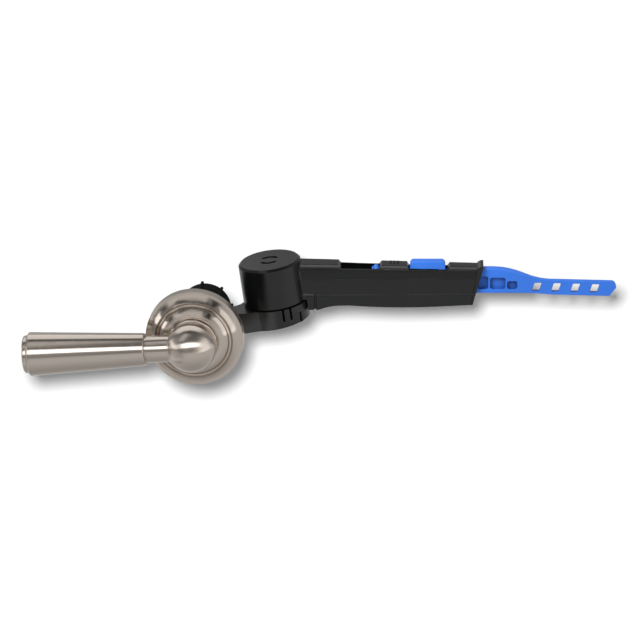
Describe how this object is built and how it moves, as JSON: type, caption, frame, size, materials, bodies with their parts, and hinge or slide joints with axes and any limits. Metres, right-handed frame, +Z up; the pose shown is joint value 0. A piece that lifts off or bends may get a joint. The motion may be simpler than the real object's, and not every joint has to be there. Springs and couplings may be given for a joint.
{
  "type": "cistern lever",
  "caption": "Cistern flush lever: round satin nickel handle and escutcheon, black crank with a swivelling hollow arm, and a blue sliding extension bar with chain holes and a latch button.",
  "frame": {"origin": "on the spindle axis, in the plane of the tank wall's outer face", "axes": "+Y goes through the wall into the tank along the spindle, +Z is up, the arm points to +X and the handle to -X"},
  "size_m": [0.2399, 0.0857, 0.041],
  "materials": {
    "satin_nickel": "satin",
    "black_plastic": "satin",
    "blue_plastic": "satin",
    "spindle_brass": "turned",
    "screw_steel": "zinc plated"
  },
  "bodies": {
    "bushing": {"escutcheon": "satin_nickel", "shank": "black_plastic", "mounting_nut": "black_plastic"},
    "lever": {"handle": "satin_nickel", "spindle": "spindle_brass", "crank": "black_plastic", "crank_screw": "screw_steel"},
    "arm": {"swivel_arm": "black_plastic"},
    "extension": {"extension_bar": "blue_plastic"},
    "latch": {"latch_button": "blue_plastic"}
  },
  "joints": [
    {"name": "flush", "type": "hinge", "parent": "bushing", "child": "lever", "pos_m": [0, 0, 0], "axis": [0, -1, 0], "range_deg": [0, 45]},
    {"name": "swivel", "type": "hinge", "parent": "lever", "child": "arm", "pos_m": [0.0279, 0.04, 0], "axis": [0, 0, 1], "range_deg": [-7.5, 82.5]},
    {"name": "extension_slide", "type": "slide", "parent": "arm", "child": "extension", "axis": [0.9818, 0.1293, -0.1392], "range_m": [-0.0285, 0], "deforming": ["latch_button"]},
    {"name": "latch_press", "type": "hinge", "parent": "extension", "child": "latch", "pos_m": [0.07137, 0.04572, 0.00515], "axis": [-0.1305, 0.9914, 0], "range_deg": [0, 13], "stiffness_Nm_per_rad": 0.3, "springref_deg": -5.16}
  ]
}
